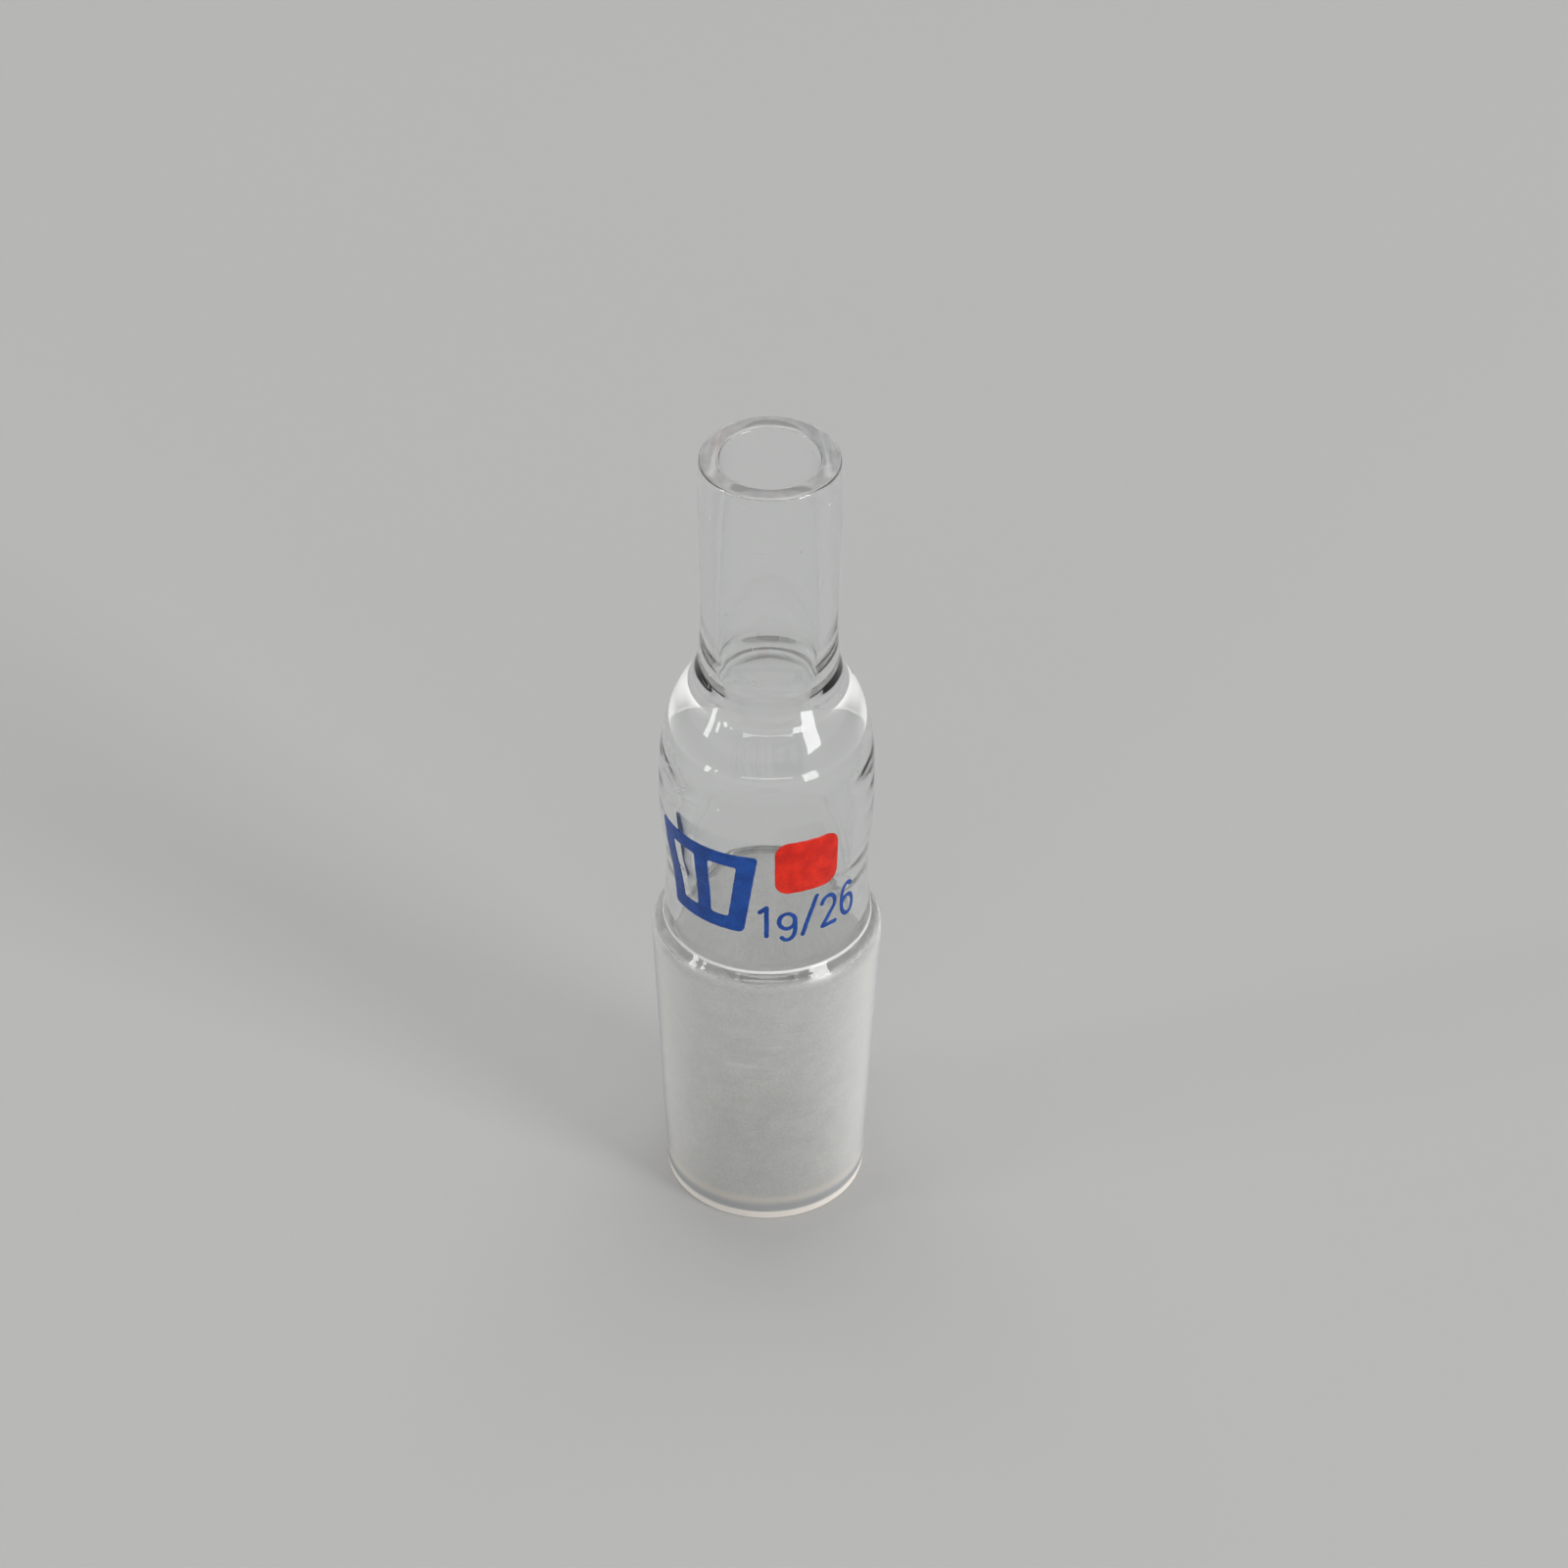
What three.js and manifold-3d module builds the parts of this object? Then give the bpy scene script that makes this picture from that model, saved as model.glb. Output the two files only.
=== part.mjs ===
// A ground-glass cone adapter, joint size 19/26, with a blown body and a plain stem.
//
// Millimetres. +Z runs up the bore from the cone to the stem, and the origin is the centre of the
// flat lower rim. The printed marks face -Y, and +X is to the right of them.
//
// The glass is turned from outlines of radius against height. It is split above the shoulder of the
// cone and at the two flame seals, and the sections meet face to face. Each printed mark is a thin
// film that lies on the curve of the glass.

import * as THREE from 'three';
import { mergeVertices } from 'three/addons/utils/BufferGeometryUtils.js';
import { TessellateModifier } from 'three/addons/modifiers/TessellateModifier.js';
import Module from 'manifold-3d';

const wasm = await Module();
wasm.setup();

// The standard taper: 1 in 10 on the diameter, 18.8 across the large end, 26 long.
const TAPER = 1 / 10;
const CONE_LARGE_RADIUS = 18.8 / 2;
const CONE_LENGTH = 26;
const CONE_SMALL_RADIUS = CONE_LARGE_RADIUS - (CONE_LENGTH * TAPER) / 2;
const TAPER_TOP = 24.6;

// Heights where one section of glass ends and the next begins.
const SHOULDER_SEAM = 28.4;
const WAIST_SEAM = 33;
const NECK_SEAM = 53.4;
const TOP = 72.3;

// The stem tube.
const STEM_RADIUS = 5.58;
const BORE_RADIUS = 3.94;

// Rim rounding: the radius that the flame or the grinder leaves on an edge.
const BASE_OUTER_EDGE = 0.3;
const BASE_INNER_EDGE = 0.45;
const STEM_EDGE = 0.35;

// The shoulder of the cone turns into the collar in a tight hollow crease between these heights.
const CREASE_FOOT = 26.8;
const CREASE_HEAD = 27.4;

// Outside of the glass, as [height, radius]: taper, shoulder, crease, waist, bulge, neck, stem.
const OUTSIDE = [
  [0, CONE_SMALL_RADIUS],
  [TAPER_TOP, CONE_SMALL_RADIUS + (TAPER_TOP * TAPER) / 2],
  [25.2, 9.35],
  [25.7, 9.26],
  [26.1, 9.08],
  [26.5, 8.83],
  [26.9, 8.54],
  [27.1, 8.43],
  [27.3, 8.4],
  [28.6, 8.34],
  [30.4, 8.2],
  [32.1, 8.15],
  [34, 8.24],
  [36.8, 8.53],
  [39.6, 8.65],
  [43, 8.6],
  [45.2, 8.4],
  [47.4, 7.91],
  [49.2, 7.24],
  [50.6, 6.42],
  [51.8, 5.92],
  [53.4, STEM_RADIUS],
  [TOP, STEM_RADIUS],
];

// Inside of the glass, as [height, radius]. The cavity of the body closes in a steep dome, lower
// than the shoulder outside, so the wall is thickest there and round the cone's shoulder.
const DOME_FOOT = 43.8;
const INSIDE = [
  [0, 6.35],
  [22, 7.1],
  [26, 7.05],
  [29.5, 6.68],
  [32.1, 6.6],
  [36, 6.9],
  [40, 7.1],
  [DOME_FOOT, 7.12],
  [45.5, 6.76],
  [46.6, 6.15],
  [47.4, 5.48],
  [48.15, 4.8],
  [49, 4.28],
  [50.3, 4.02],
  [NECK_SEAM, BORE_RADIUS],
  [TOP, BORE_RADIUS],
];

// How finely the glass is turned.
const GLASS_SIDES = 48;
const EDGE_STEPS = 3;

// The printed marks: a fired film, drawn flat as arc length and height, then laid on the glass.
const MARK_THICKNESS = 0.1;
const MARK_GAP = 0.02;
const MARK_FACET = 1;
const MARK_RADIUS = 8.4;
const CURVE_POINTS = 12;

// The size figures.
const FIGURE_BASE = 30.5;
const FIGURE_HEIGHT = 3.35;
const FIGURE_WIDTH = 1.75;
const FIGURE_STROKE = 0.4;

const CLEAR_GLASS = new THREE.MeshStandardMaterial({ color: 0xe6ecec, roughness: 0.03, metalness: 0 });
const GROUND_GLASS = new THREE.MeshStandardMaterial({ color: 0xd9dcda, roughness: 0.6, metalness: 0 });
const BLUE_ENAMEL = new THREE.MeshStandardMaterial({ color: 0x1f4a90, roughness: 0.25, metalness: 0 });
const RED_ENAMEL = new THREE.MeshStandardMaterial({ color: 0xcd2a1a, roughness: 0.25, metalness: 0 });

const adapter = new THREE.Group();
adapter.name = 'cone_adapter';

function add(name, geometry, material) {
  const mesh = new THREE.Mesh(geometry, material);
  mesh.name = name;
  adapter.add(mesh);
}

// ---- Outlines -----------------------------------------------------------------------------

// The slope at a knot: the harmonic mean of its two sides, or level where the radius turns back.
function knotSlope(knots, i) {
  if (i === 0 || i === knots.length - 1) {
    return 0;
  }
  const before = (knots[i][1] - knots[i - 1][1]) / (knots[i][0] - knots[i - 1][0]);
  const after = (knots[i + 1][1] - knots[i][1]) / (knots[i + 1][0] - knots[i][0]);
  return before * after > 0 ? (2 * before * after) / (before + after) : 0;
}

// The radius at a height: a cubic through the knots that never swings past them. The first
// stretch is the straight bore or taper.
function radiusAt(knots, height) {
  const last = knots.length - 2;
  const found = knots.findIndex((knot, k) => k <= last && height <= knots[k + 1][0]);
  const i = found < 0 ? last : found;
  const [z0, r0] = knots[i];
  const [z1, r1] = knots[i + 1];
  const span = z1 - z0;
  const t = (height - z0) / span;
  if (i === 0) {
    return r0 + (r1 - r0) * t;
  }
  const rise0 = knotSlope(knots, i) * span;
  const rise1 = knotSlope(knots, i + 1) * span;
  const bend = 2 * (r0 - r1) + rise0 + rise1;
  return r0 + rise0 * t + (3 * (r1 - r0) - 2 * rise0 - rise1) * t * t + bend * t * t * t;
}

// Evenly spaced heights, both ends included.
function heights(bottom, top, steps) {
  return Array.from({ length: steps + 1 }, (_, i) => bottom + ((top - bottom) * i) / steps);
}

// A quarter turn that rounds an edge, from one angle to the next, in radius and height.
function edgeArc(radius, height, size, from, to) {
  const arc = new THREE.EllipseCurve(radius, height, size, size, from, to, to < from);
  return arc.getPoints(EDGE_STEPS);
}

// ---- Glass --------------------------------------------------------------------------------

// Turns a closed outline, given from the outer bottom edge up and round, about the Z axis.
function turn(outline) {
  const closed = [...outline, outline[0].clone()];
  const geometry = new THREE.LatheGeometry(closed, GLASS_SIDES);
  geometry.rotateX(Math.PI / 2);
  return geometry;
}

function wall(knots, levels) {
  return levels.map((level) => new THREE.Vector2(radiusAt(knots, level), level));
}

function groundCone() {
  const shoulder = heights(TAPER_TOP, CREASE_FOOT, 6);
  const crease = heights(CREASE_FOOT, CREASE_HEAD, 4).slice(1);
  const outer = wall(OUTSIDE, [TAPER_TOP / 2, TAPER_TOP - 0.5, ...shoulder, ...crease, SHOULDER_SEAM]);
  const inner = wall(INSIDE, [SHOULDER_SEAM, 26.6, 24.6, 22, 11]);
  const outerEdge = CONE_SMALL_RADIUS - BASE_OUTER_EDGE;
  const innerEdge = INSIDE[0][1] + BASE_INNER_EDGE;
  return turn([
    ...edgeArc(outerEdge, BASE_OUTER_EDGE, BASE_OUTER_EDGE, -Math.PI / 2, 0),
    ...outer,
    ...inner,
    ...edgeArc(innerEdge, BASE_INNER_EDGE, BASE_INNER_EDGE, Math.PI, 1.5 * Math.PI),
  ]);
}

function tubeSection(levels) {
  return turn([...wall(OUTSIDE, levels), ...wall(INSIDE, levels).reverse()]);
}

function blownBody() {
  const shoulder = heights(DOME_FOOT, NECK_SEAM, 16).slice(1);
  return tubeSection([...heights(WAIST_SEAM, DOME_FOOT, 9), ...shoulder]);
}

function stemTube() {
  const edge = TOP - STEM_EDGE;
  return turn([
    new THREE.Vector2(STEM_RADIUS, NECK_SEAM),
    ...edgeArc(STEM_RADIUS - STEM_EDGE, edge, STEM_EDGE, 0, Math.PI / 2),
    ...edgeArc(BORE_RADIUS + STEM_EDGE, edge, STEM_EDGE, Math.PI / 2, Math.PI),
    new THREE.Vector2(BORE_RADIUS, NECK_SEAM),
  ]);
}

// ---- Printed marks ------------------------------------------------------------------------

// Only positions, with the vertices that neighbours share made one.
function bare(geometry) {
  const plain = geometry.clone();
  plain.deleteAttribute('normal');
  plain.deleteAttribute('uv');
  return mergeVertices(plain, 1e-5);
}

function toSolid(geometry) {
  const shared = bare(geometry);
  return new wasm.Manifold(new wasm.Mesh({
    numProp: 3,
    vertProperties: new Float32Array(shared.attributes.position.array),
    triVerts: new Uint32Array(shared.index.array),
  }));
}

// Joins flat strokes into one closed film.
function joined(geometries) {
  const [first, ...rest] = geometries.map(toSolid);
  const mesh = rest.reduce((solid, other) => solid.add(other), first).getMesh();
  const geometry = new THREE.BufferGeometry();
  geometry.setAttribute('position', new THREE.BufferAttribute(mesh.vertProperties, 3));
  geometry.setIndex(new THREE.BufferAttribute(mesh.triVerts, 1));
  return geometry;
}

function film(shape) {
  return new THREE.ExtrudeGeometry(shape, { depth: MARK_THICKNESS, bevelEnabled: false, curveSegments: 4 });
}

// Lays a flat film on the glass: x becomes arc length round from -Y, and y becomes height.
function laidOnGlass(flat, arcLength, height) {
  const fine = bare(new TessellateModifier(MARK_FACET, 16).modify(flat));
  const place = fine.attributes.position;
  for (let i = 0; i < place.count; i += 1) {
    const turnAngle = (place.getX(i) + arcLength) / MARK_RADIUS;
    const level = place.getY(i) + height;
    const radius = radiusAt(OUTSIDE, level) + MARK_GAP + place.getZ(i);
    place.setXYZ(i, radius * Math.sin(turnAngle), -radius * Math.cos(turnAngle), level);
  }
  return fine;
}

function stepTowards(from, to, distance) {
  return from.clone().add(to.clone().sub(from).setLength(distance));
}

// Draws a closed outline through the corners, each rounded off by the same amount.
function roundedOutline(path, corners, rounding) {
  const count = corners.length;
  corners.forEach((corner, i) => {
    const start = stepTowards(corner, corners[(i + count - 1) % count], rounding);
    const end = stepTowards(corner, corners[(i + 1) % count], rounding);
    if (i === 0) {
      path.moveTo(start.x, start.y);
    } else {
      path.lineTo(start.x, start.y);
    }
    path.quadraticCurveTo(corner.x, corner.y, end.x, end.y);
  });
  path.closePath();
  return path;
}

// Corners of an upright four-sided figure with level ends, counter-clockwise.
function trapezium(bottomLeft, bottomRight, topLeft, topRight, bottom, top) {
  return [
    new THREE.Vector2(bottomLeft, bottom),
    new THREE.Vector2(bottomRight, bottom),
    new THREE.Vector2(topRight, top),
    new THREE.Vector2(topLeft, top),
  ];
}

// A plain tapered frame with its centre line: the outline of a cone joint.
const SYMBOL = {
  arc: -5.5,
  base: 30.9,
  height: 8.2,
  topWidth: 9.8,
  bottomWidth: 7.2,
  bar: 1.35,
  corner: 0.5,
};

function jointSymbol() {
  const { height, topWidth, bottomWidth, bar, corner } = SYMBOL;
  const halfTop = topWidth / 2;
  const halfBottom = bottomWidth / 2;
  const outline = trapezium(-halfBottom, halfBottom, -halfTop, halfTop, 0, height);
  const shape = roundedOutline(new THREE.Shape(), outline, corner);
  const inTop = halfTop - bar * 1.3;
  const inBottom = halfBottom - bar;
  const inside = bar / 2;
  const left = trapezium(-inBottom, -inside, -inTop, -inside, bar, height - bar);
  const right = trapezium(inside, inBottom, inside, inTop, bar, height - bar);
  shape.holes.push(roundedOutline(new THREE.Path(), left, corner / 2));
  shape.holes.push(roundedOutline(new THREE.Path(), right, corner / 2));
  return laidOnGlass(film(shape), SYMBOL.arc, SYMBOL.base);
}

// A plain rounded square of colour.
const PATCH = { arc: 3.4, middle: 37.8, side: 5.4, corner: 1.3 };

function colourPatch() {
  const half = PATCH.side / 2;
  const corners = trapezium(-half, half, -half, half, -half, half);
  const shape = roundedOutline(new THREE.Shape(), corners, PATCH.corner);
  return laidOnGlass(film(shape), PATCH.arc, PATCH.middle);
}

// A stroke of even width along a line of points, with square ends.
function stroke(points) {
  const half = FIGURE_STROKE / 2;
  const sides = points.map((point, i) => {
    const before = points[Math.max(i - 1, 0)];
    const after = points[Math.min(i + 1, points.length - 1)];
    const along = after.clone().sub(before).setLength(half);
    const across = new THREE.Vector2(-along.y, along.x);
    return { left: point.clone().add(across), right: point.clone().sub(across) };
  });
  const outline = [...sides.map((side) => side.right), ...sides.map((side) => side.left).reverse()];
  return film(new THREE.Shape(outline));
}

function line(x0, y0, x1, y1) {
  return stroke([new THREE.Vector2(x0, y0), new THREE.Vector2(x1, y1)]);
}

function degrees(angle) {
  return (angle * Math.PI) / 180;
}

// The closed bowl of a 6 or a 9.
function bowl(x, y, radiusX, radiusY) {
  const half = FIGURE_STROKE / 2;
  const shape = new THREE.Shape();
  shape.absellipse(x, y, radiusX + half, radiusY + half, 0, 2 * Math.PI, false);
  const hole = new THREE.Path();
  hole.absellipse(x, y, radiusX - half, radiusY - half, 0, 2 * Math.PI, true);
  shape.holes.push(hole);
  const depth = { depth: MARK_THICKNESS, bevelEnabled: false, curveSegments: 2 * CURVE_POINTS };
  return new THREE.ExtrudeGeometry(shape, depth);
}

const MIDDLE = FIGURE_WIDTH / 2;
const REACH = (FIGURE_WIDTH - FIGURE_STROKE) / 2;
const LOW = FIGURE_STROKE / 2;
const HIGH = FIGURE_HEIGHT - FIGURE_STROKE / 2;
const BOWL_RISE = 0.86;

function figureOne() {
  const stem = FIGURE_STROKE * 1.9;
  return joined([line(stem, 0, stem, FIGURE_HEIGHT), line(stem, HIGH, 0.12, HIGH - 0.6)]);
}

// The bowl on top, and a tail that runs down its right side and hooks back to the left.
function figureNine() {
  const hook = new THREE.EllipseCurve(MIDDLE, LOW + 1.1, REACH, 1.1, 0, degrees(-140), true);
  const side = new THREE.Vector2(MIDDLE + REACH, HIGH - BOWL_RISE);
  const tail = stroke([side, ...hook.getPoints(CURVE_POINTS)]);
  return joined([bowl(MIDDLE, HIGH - BOWL_RISE, REACH, BOWL_RISE), tail]);
}

// The nine turned upside down.
function figureSix() {
  const six = figureNine();
  six.translate(-MIDDLE, -FIGURE_HEIGHT / 2, 0);
  six.rotateZ(Math.PI);
  six.translate(MIDDLE, FIGURE_HEIGHT / 2, 0);
  return six;
}

// An open crown, a straight run down to the left, and a level foot.
function figureTwo() {
  const [from, to] = [degrees(170), degrees(-30)];
  const crown = new THREE.EllipseCurve(MIDDLE, HIGH - BOWL_RISE, REACH, BOWL_RISE, from, to, true);
  const foot = new THREE.Vector2(2 * LOW, LOW);
  const run = stroke([...crown.getPoints(CURVE_POINTS), foot]);
  return joined([run, line(LOW, LOW, FIGURE_WIDTH, LOW)]);
}

function slash() {
  return joined([line(0, -0.1, 1.35, FIGURE_HEIGHT + 0.45)]);
}

// Each figure's name and shape, the arc length where it starts, its foot and its share of the full
// height. The 9 is set low and small, as in old-style figures.
const FIGURES = [
  ['numeral_1', figureOne, -0.75, FIGURE_BASE, 1],
  ['numeral_9', figureNine, 0.85, FIGURE_BASE - 0.45, 0.9],
  ['size_slash', slash, 3.0, FIGURE_BASE, 1],
  ['numeral_2', figureTwo, 4.6, FIGURE_BASE, 1],
  ['numeral_6', figureSix, 6.75, FIGURE_BASE, 1.05],
];

function figure(shape, arcLength, foot, share) {
  return laidOnGlass(shape().scale(1, share, 1), arcLength, foot);
}

// ---- Assembly -----------------------------------------------------------------------------

add('ground_cone', groundCone(), GROUND_GLASS);
add('clear_collar', tubeSection(heights(SHOULDER_SEAM, WAIST_SEAM, 5)), CLEAR_GLASS);
add('blown_body', blownBody(), CLEAR_GLASS);
add('stem_tube', stemTube(), CLEAR_GLASS);
add('joint_symbol', jointSymbol(), BLUE_ENAMEL);
add('colour_patch', colourPatch(), RED_ENAMEL);
FIGURES.forEach(([name, ...place]) => {
  add(name, figure(...place), BLUE_ENAMEL);
});

export default adapter;
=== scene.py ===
# Looks for the ground-glass cone adapter: fine turned glass, a frosted cone, fired enamel marks,
# a plain pale floor and soft studio light. Metres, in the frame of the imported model.
import math

import bpy
import numpy as np
from mathutils import Matrix, Vector


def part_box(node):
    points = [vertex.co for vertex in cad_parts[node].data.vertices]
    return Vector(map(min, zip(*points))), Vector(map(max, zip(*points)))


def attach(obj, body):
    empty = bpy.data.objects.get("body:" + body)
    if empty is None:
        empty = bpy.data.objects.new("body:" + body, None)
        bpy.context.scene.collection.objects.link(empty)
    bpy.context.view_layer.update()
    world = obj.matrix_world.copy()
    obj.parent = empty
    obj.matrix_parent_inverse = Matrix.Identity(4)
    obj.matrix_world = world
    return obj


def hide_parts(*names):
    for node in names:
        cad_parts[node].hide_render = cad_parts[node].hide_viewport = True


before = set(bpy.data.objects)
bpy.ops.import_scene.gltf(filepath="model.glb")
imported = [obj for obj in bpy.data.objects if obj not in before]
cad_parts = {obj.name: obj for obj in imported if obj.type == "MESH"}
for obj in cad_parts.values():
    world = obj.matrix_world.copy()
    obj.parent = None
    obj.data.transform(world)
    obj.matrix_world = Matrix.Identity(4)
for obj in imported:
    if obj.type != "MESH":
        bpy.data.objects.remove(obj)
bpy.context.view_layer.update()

MM = 0.001

# ---- Camera -------------------------------------------------------------------------------

CAMERA_ELEVATION = math.radians(38.95)
CAMERA_ROLL = math.radians(0.5)
CAMERA_DISTANCE = 609 * MM
CAMERA_LENS = 167.2
SENSOR_WIDTH = 36
CAMERA_CLIP = (0.02, 60)
CAMERA_AIM = Vector((1.29, 19.45, 24.06)) * MM


def make_camera():
    """The camera looks along +Y and down, so the marks on the -Y side face it."""
    right = Vector((1, 0, 0))
    forward = Vector((0, math.cos(CAMERA_ELEVATION), -math.sin(CAMERA_ELEVATION)))
    up = right.cross(forward)
    tilted = Matrix.Rotation(CAMERA_ROLL, 3, -forward)
    axes = (tilted @ right, tilted @ up, -forward)
    data = bpy.data.cameras.new("camera")
    data.lens = CAMERA_LENS
    data.sensor_width = SENSOR_WIDTH
    data.clip_start, data.clip_end = CAMERA_CLIP
    camera = bpy.data.objects.new("camera", data)
    camera.matrix_world = Matrix(axes).transposed().to_4x4()
    camera.location = CAMERA_AIM - forward * CAMERA_DISTANCE
    bpy.context.scene.collection.objects.link(camera)
    bpy.context.scene.camera = camera


make_camera()

# ---- Glass outlines, read from the turned CAD sections ---------------------------------------

GLASS_NODES = ("ground_cone", "clear_collar", "blown_body", "stem_tube")

# The two walls of the glass: the way out of it is away from the bore's axis, or towards it.
OUTSIDE, INSIDE = 1, -1

# A face belongs to a wall if it faces its way at least this much.
WALL_FACING = 0.5
RING_DECIMALS = 6
BASE_EDGES = {OUTSIDE: 0.3 * MM, INSIDE: 0.45 * MM}
STEM_EDGE = 0.35 * MM
SHOULDER_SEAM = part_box("ground_cone")[1].z
WAIST_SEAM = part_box("clear_collar")[1].z
NECK_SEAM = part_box("blown_body")[1].z
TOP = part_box("stem_tube")[1].z


def wall_rings(side):
    """Height and radius of each ring of CAD vertices on the outer or the inner wall."""
    rings = {}
    for name in GLASS_NODES:
        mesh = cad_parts[name].data
        for face in mesh.polygons:
            outwards = Vector((face.center.x, face.center.y, 0)).normalized()
            if face.normal.dot(outwards) * side < WALL_FACING:
                continue
            for i in face.vertices:
                point = mesh.vertices[i].co
                rings[round(point.z, RING_DECIMALS)] = math.hypot(point.x, point.y)
    return sorted(rings.items())


def smooth_curve(rings):
    """Knots, radii and second derivatives of a smooth cubic curve through the rings."""
    z, r = (np.array(column) for column in zip(*rings))
    span = np.diff(z)
    slope = np.diff(r) / span
    count = len(z)
    system = np.zeros((count, count))
    bend = np.zeros(count)
    system[0, 0] = system[-1, -1] = 1
    for i in range(1, count - 1):
        system[i, i - 1:i + 2] = span[i - 1], 2 * (span[i - 1] + span[i]), span[i]
        bend[i] = 6 * (slope[i] - slope[i - 1])
    return z, r, np.linalg.solve(system, bend)


def curve_radius(curve, height):
    """Radius of the smooth curve at each height."""
    z, r, bend = curve
    height = np.clip(height, z[0], z[-1])
    i = np.clip(np.searchsorted(z, height) - 1, 0, len(z) - 2)
    span = z[i + 1] - z[i]
    above = (height - z[i]) / span
    below = 1 - above
    arch = (below ** 3 - below) * bend[i] + (above ** 3 - above) * bend[i + 1]
    return below * r[i] + above * r[i + 1] + arch * span ** 2 / 6


CURVES = {side: smooth_curve(wall_rings(side)) for side in (OUTSIDE, INSIDE)}

# Hand-worked glass is never quite true. These are the sizes of its unevenness, and how far above
# the shoulder and the neck seal it fades in and out.
LEAN = Vector((-0.11, 0.04)) * MM
LEAN_MIDDLE = 41 * MM
LEAN_REACH = 7 * MM
SEAL_RIPPLE = {OUTSIDE: 0.012 * MM, INSIDE: 0.05 * MM}
SEAL_REACH = 1.3 * MM
SEAL_WAVE = 0.5 * MM
WAVINESS = {OUTSIDE: 0.012 * MM, INSIDE: 0.04 * MM}
WAVE_LENGTH = 2.3 * MM
FADE_IN = 2 * MM
FADE_OUT = 6 * MM
SEAL_PHASES = ((WAIST_SEAM, 0.7), (NECK_SEAM, 2.1))


def worked(height):
    """1 where the flame has softened the glass, fading to 0 at the ground cone and up the stem."""
    rising = np.clip((height - SHOULDER_SEAM) / FADE_IN, 0, 1)
    falling = np.clip((NECK_SEAM + FADE_OUT - height) / FADE_OUT, 0, 1)
    return rising * rising * (3 - 2 * rising) * falling * falling * (3 - 2 * falling)


def seal_ripple(angle, height):
    """A low ring or two where two tubes were melted together."""
    total = 0
    for seam, phase in SEAL_PHASES:
        away = height - seam
        ring = np.exp(-(away / SEAL_REACH) ** 2) * np.cos(away / SEAL_WAVE + phase)
        total = total + ring * (0.7 + 0.3 * np.sin(2 * angle + phase))
    return total


def waviness(angle, height):
    """Slow swells of the blown wall."""
    along = height / WAVE_LENGTH
    return np.sin(2 * angle + along) * 0.5 + np.sin(3 * angle - 0.6 * along + 1.3) * 0.5


def glass_points(side, angle, height, radius=None, stand=0.0):
    """Points of a glass wall, or of a circle of a given radius that follows its unevenness.

    The angle turns from -Y towards +X. stand lifts the points off the wall."""
    if radius is None:
        radius = curve_radius(CURVES[side], height)
    ripple = SEAL_RIPPLE[side] * seal_ripple(angle, height)
    uneven = ripple + WAVINESS[side] * waviness(angle, height)
    radius = radius + worked(height) * uneven + stand
    lean = np.exp(-((height - LEAN_MIDDLE) / LEAN_REACH) ** 2)
    x = radius * np.sin(angle) + lean * LEAN.x
    y = -radius * np.cos(angle) + lean * LEAN.y
    return np.stack([x, y, height + 0 * x], axis=-1)


def glass_normals(side, angle, height):
    """Unit normals of a glass wall, pointing out of the glass."""
    step = 0.02 * MM
    turn = 0.002
    across = glass_points(side, angle + turn, height) - glass_points(side, angle - turn, height)
    along = glass_points(side, angle, height + step) - glass_points(side, angle, height - step)
    normal = np.cross(across, along) * side
    return normal / np.linalg.norm(normal, axis=-1, keepdims=True)


# ---- Node helpers -------------------------------------------------------------------------


# The sockets of a Mix node that hold its two colours and its result.
MIX_LOW, MIX_HIGH, MIX_RESULT = 6, 7, 2


class Graph:
    """A material's node tree with short calls for making and joining nodes."""

    def __init__(self, name):
        self.material = bpy.data.materials.new(name)
        self.material.use_nodes = True
        self.tree = self.material.node_tree
        self.tree.nodes.clear()

    def add(self, kind, settings=None, **inputs):
        """Makes a node, sets its properties, and sets or links its inputs by name."""
        made = self.tree.nodes.new("ShaderNode" + kind)
        for name, value in (settings or {}).items():
            setattr(made, name, value)
        for name, value in inputs.items():
            self.put(made.inputs[name.replace("_", " ")], value)
        return made

    def put(self, socket, value):
        if isinstance(value, bpy.types.NodeSocket):
            self.tree.links.new(value, socket)
        else:
            socket.default_value = value

    def maths(self, operation, *values, clamp=False):
        made = self.add("Math", {"operation": operation, "use_clamp": clamp})
        for socket, value in zip(made.inputs, values):
            self.put(socket, value)
        return made.outputs[0]

    def fade(self, value, low, high, start=0.0, end=1.0):
        """A smooth change from start to end while value goes from low to high."""
        made = self.add("MapRange", {"interpolation_type": "SMOOTHSTEP"})
        for socket, number in zip(made.inputs, (value, low, high, start, end)):
            self.put(socket, number)
        return made.outputs[0]

    def place(self):
        """The point's place in the object, in millimetres."""
        where = self.add("TexCoord").outputs["Object"]
        return self.add("VectorMath", {"operation": "SCALE"}, Vector=where, Scale=1 / MM).outputs[0]

    def stretched(self, vector, scale):
        made = self.add("VectorMath", {"operation": "MULTIPLY"})
        self.put(made.inputs[0], vector)
        self.put(made.inputs[1], scale)
        return made.outputs[0]

    def mixed(self, share, low, high):
        """A colour between two others."""
        made = self.add("Mix", {"data_type": "RGBA"}, Factor=share)
        self.put(made.inputs[MIX_LOW], low)
        self.put(made.inputs[MIX_HIGH], high)
        return made.outputs[MIX_RESULT]

    def noise(self, vector, scale, detail=3.0, rough=0.5):
        made = self.add("TexNoise", Vector=vector, Scale=scale, Detail=detail, Roughness=rough)
        return made.outputs[0]

    def finish(self, shader):
        output = self.add("OutputMaterial")
        self.put(output.inputs["Surface"], shader.outputs[0])
        return self.material


# ---- Materials ----------------------------------------------------------------------------

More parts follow.
